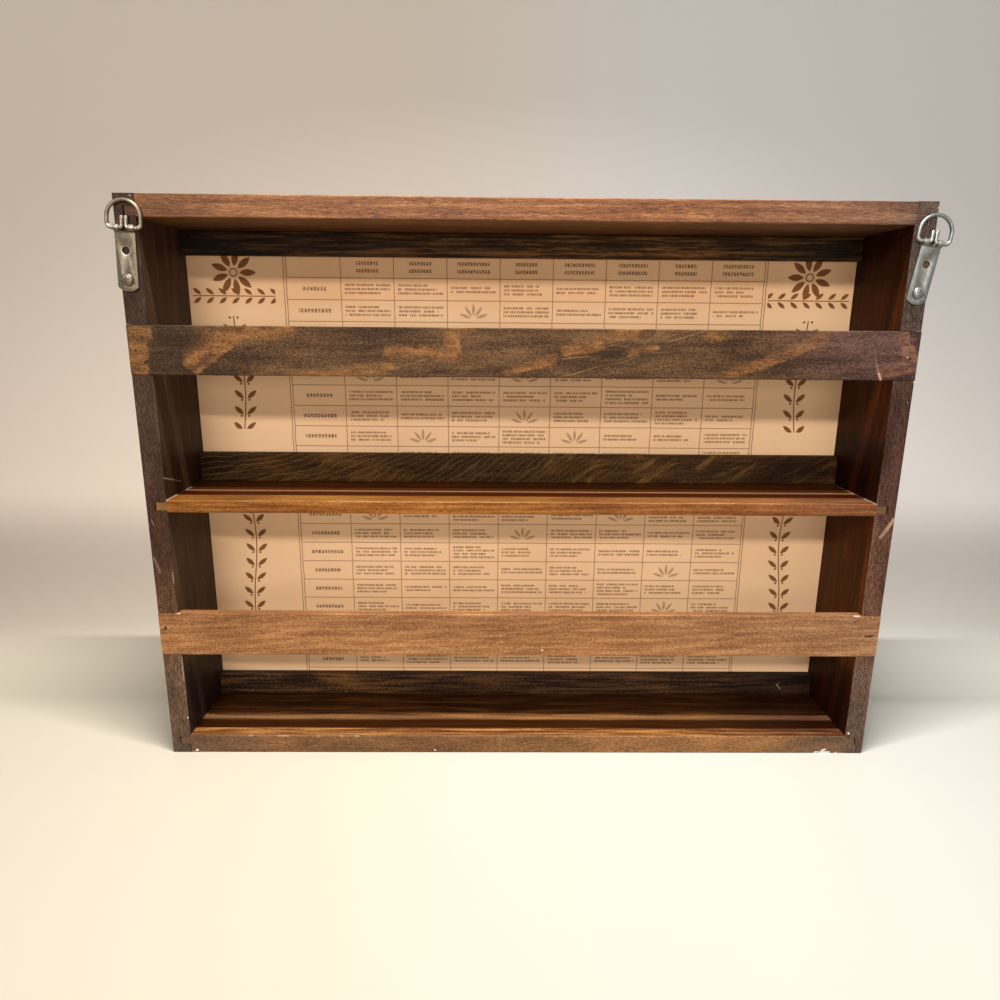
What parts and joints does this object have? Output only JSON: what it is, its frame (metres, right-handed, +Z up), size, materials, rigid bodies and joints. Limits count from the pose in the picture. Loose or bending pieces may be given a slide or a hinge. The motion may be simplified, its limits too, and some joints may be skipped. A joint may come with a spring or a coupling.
{
  "type": "spice rack",
  "caption": "Open wooden wall rack for spice jars: two shelves behind retaining rails, a printed chart on the back panel, and ring hangers screwed to the front edges.",
  "frame": {"origin": "middle of the underside of the case, on the surface it stands on", "axes": "+Z up; -Y out of the open side, where the rails and hangers are; +X to the right when facing the open side"},
  "size_m": [0.4838, 0.0705, 0.354],
  "materials": {
    "side_wood": "dark walnut stain, thin satin lacquer",
    "board_wood": "reddish walnut stain, thin satin lacquer",
    "rail_wood": "walnut stain taken unevenly, satin lacquer",
    "strip_wood": "very dark stain, satin",
    "hardboard": "bare hardboard, matt",
    "chart_paper": "matt printed paper",
    "brad_steel": "dull steel, stained with the wood",
    "zinc_plate": "bright zinc plate, slightly dulled"
  },
  "bodies": {
    "case": {"left_side": "side_wood", "right_side": "side_wood", "top_board": "board_wood", "bottom_board": "board_wood", "middle_shelf": "board_wood", "upper_rail": "rail_wood", "lower_rail": "rail_wood", "top_back_strip": "strip_wood", "middle_back_strip": "strip_wood", "bottom_back_strip": "strip_wood", "back_panel": "hardboard", "chart_sheet": "chart_paper", "upper_rail_brads": "brad_steel", "lower_rail_brads": "brad_steel", "left_side_brads": "brad_steel", "right_side_brads": "brad_steel", "back_panel_brads": "brad_steel", "left_hanger_strap": "zinc_plate", "right_hanger_strap": "zinc_plate", "left_hanger_screw": "zinc_plate", "right_hanger_screw": "zinc_plate"},
    "left_ring": {"left_hanger_ring": "zinc_plate"},
    "right_ring": {"right_hanger_ring": "zinc_plate"}
  },
  "joints": [
    {"name": "left_ring_swing", "type": "hinge", "parent": "case", "child": "left_ring", "pos_m": [-0.22897, -0.03528, 0.33518], "axis": [0.9992, 0, -0.0401], "range_deg": [0, 112]},
    {"name": "right_ring_swing", "type": "hinge", "parent": "case", "child": "right_ring", "pos_m": [0.23287, -0.03528, 0.33149], "axis": [0.989, 0, -0.1478], "range_deg": [0, 112]}
  ]
}
